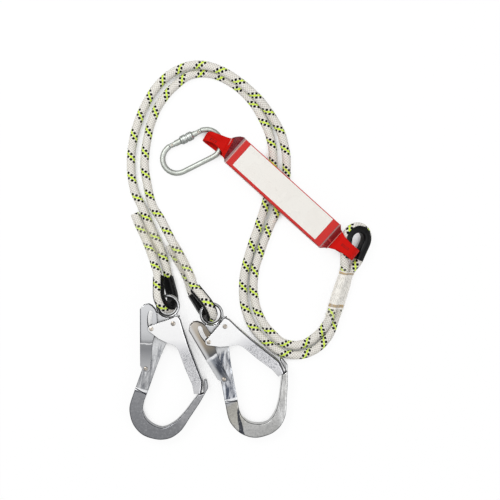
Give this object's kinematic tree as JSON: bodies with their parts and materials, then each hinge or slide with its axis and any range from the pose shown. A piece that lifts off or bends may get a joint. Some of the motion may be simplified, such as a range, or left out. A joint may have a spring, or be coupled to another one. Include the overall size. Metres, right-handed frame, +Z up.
{
  "type": "twin shock-absorbing lanyard",
  "caption": "Twin-leg rope lanyard with a scaffold hook on each leg, a shared tear-webbing energy absorber and an oval screw-gate carabiner, laid flat.",
  "frame": {"origin": "middle of the bottom of everything but the two free rope legs, on the surface it lies on", "axes": "+Z up from that surface; +Y from the hooks towards the carabiner and the ropes' top bend; +X towards the absorber's rope end"},
  "size_m": [0.3415, 0.5269, 0.0479],
  "materials": {
    "rope": "woven kernmantle rope",
    "plastic": "moulded black",
    "clear_cover": "clear, yellowish",
    "clear_film": "clear film",
    "webbing": "woven polyester webbing",
    "label": "matt paper or film, bare",
    "thread": "twisted thread",
    "forged_alloy": "forged, tumbled",
    "plated_sheet": "pressed sheet, bright zinc",
    "rivet_steel": "turned and headed",
    "spring_steel": "drawn wire",
    "carabiner_steel": "plated steel"
  },
  "bodies": {
    "rope_set": {"left_leg": "rope", "right_leg": "rope", "left_rope_eye": "rope", "right_rope_eye": "rope", "rope_bight": "rope", "left_thimble": "plastic", "right_thimble": "plastic", "absorber_thimble": "plastic", "left_splice_cover": "clear_cover", "right_splice_cover": "clear_cover", "absorber_splice_cover": "clear_cover", "splice_label": "label", "left_splice_stitching": "thread", "right_splice_stitching": "thread", "absorber_splice_stitching": "thread"},
    "absorber": {"tear_webbing": "webbing", "front_loop": "webbing", "rear_loop": "webbing", "absorber_cover": "clear_film", "absorber_label": "label", "front_stitching": "thread", "rear_stitching": "thread"},
    "carabiner": {"carabiner_body": "carabiner_steel", "carabiner_hinge_pin": "carabiner_steel"},
    "carabiner_gate": {"carabiner_gate": "carabiner_steel", "carabiner_latch_pin": "carabiner_steel", "carabiner_gate_spring": "spring_steel"},
    "spring_plunger": {"carabiner_spring_plunger": "carabiner_steel"},
    "screw_sleeve": {"carabiner_screw_sleeve": "carabiner_steel"},
    "left_hook": {"left_hook_body": "forged_alloy", "left_gate_pivot_rivet": "rivet_steel", "left_lever_rivet": "rivet_steel", "left_gate_spring": "spring_steel", "left_lever_spring": "spring_steel"},
    "left_gate": {"left_gate": "plated_sheet", "left_gate_tail_rivet": "rivet_steel"},
    "left_lever": {"left_lock_lever": "plated_sheet"},
    "right_hook": {"right_hook_body": "forged_alloy", "right_gate_pivot_rivet": "rivet_steel", "right_lever_rivet": "rivet_steel", "right_gate_spring": "spring_steel", "right_lever_spring": "spring_steel"},
    "right_gate": {"right_gate": "plated_sheet", "right_gate_tail_rivet": "rivet_steel"},
    "right_lever": {"right_lock_lever": "plated_sheet"}
  },
  "joints": [
    {"name": "absorber_lift", "type": "hinge", "parent": "rope_set", "child": "absorber", "pos_m": [0.13003, 0.04583, 0.02272], "axis": [0.62, 0.7846, 0], "range_deg": [0, 20]},
    {"name": "carabiner_lift", "type": "hinge", "parent": "absorber", "child": "carabiner", "pos_m": [-0.04222, 0.19169, 0.00802], "axis": [0.5092, 0.8606, 0], "range_deg": [0, 12]},
    {"name": "carabiner_gate_hinge", "type": "hinge", "parent": "carabiner", "child": "carabiner_gate", "pos_m": [-0.10962, 0.1923, 0.00574], "axis": [0.0359, 0.0179, -0.9992], "range_deg": [0, 11], "stiffness_Nm_per_rad": 0.06, "springref_deg": -17.19},
    {"name": "spring_plunger_slide", "type": "slide", "parent": "carabiner_gate", "child": "spring_plunger", "axis": [0.8942, 0.4458, 0.0401], "range_m": [0, 0.0005], "deforming": ["carabiner_gate_spring"]},
    {"name": "screw_sleeve_slide", "type": "slide", "parent": "carabiner_gate", "child": "screw_sleeve", "axis": [-0.8942, -0.4458, -0.0401], "range_m": [-0.012, 0.0105]},
    {"name": "left_hook_swing", "type": "hinge", "parent": "rope_set", "child": "left_hook", "pos_m": [-0.11512, -0.03553, 0.02579], "axis": [-0.5466, 0.0767, 0.8338], "range_deg": [-6, 6]},
    {"name": "left_gate_hinge", "type": "hinge", "parent": "left_hook", "child": "left_gate", "pos_m": [-0.10692, -0.05461, 0.02117], "axis": [0, 0.0842, -0.9964], "range_deg": [0, 40], "stiffness_Nm_per_rad": 0.15, "springref_deg": -20.05, "deforming": ["left_gate_spring"]},
    {"name": "left_lever_hinge", "type": "hinge", "parent": "left_hook", "child": "left_lever", "pos_m": [-0.14532, -0.11749, 0.01585], "axis": [0, 0.0842, -0.9964], "range_deg": [0, 2.2], "stiffness_Nm_per_rad": 0.3, "springref_deg": -11.46, "deforming": ["left_lever_spring"]},
    {"name": "right_hook_swing", "type": "hinge", "parent": "rope_set", "child": "right_hook", "pos_m": [-0.05295, -0.04638, 0.02879], "axis": [0.1782, 0.3649, 0.9139], "range_deg": [-3, 0.5]},
    {"name": "right_gate_hinge", "type": "hinge", "parent": "right_hook", "child": "right_gate", "pos_m": [-0.03602, -0.05831, 0.0244], "axis": [-0.0525, 0.0899, -0.9946], "range_deg": [0, 40], "stiffness_Nm_per_rad": 0.15, "springref_deg": -20.05, "deforming": ["right_gate_spring"]},
    {"name": "right_lever_hinge", "type": "hinge", "parent": "right_hook", "child": "right_lever", "pos_m": [-0.03751, -0.13187, 0.01784], "axis": [-0.0525, 0.0899, -0.9946], "range_deg": [0, 2.2], "stiffness_Nm_per_rad": 0.3, "springref_deg": -11.46, "deforming": ["right_lever_spring"]}
  ],
  "couplings": [
    {"joint": "spring_plunger_slide", "follows": "carabiner_gate_hinge", "m_per_rad": 0.00115},
    {"joint": "left_lever_hinge", "follows": "left_gate_hinge", "ratio": 0.05},
    {"joint": "right_lever_hinge", "follows": "right_gate_hinge", "ratio": 0.05}
  ]
}
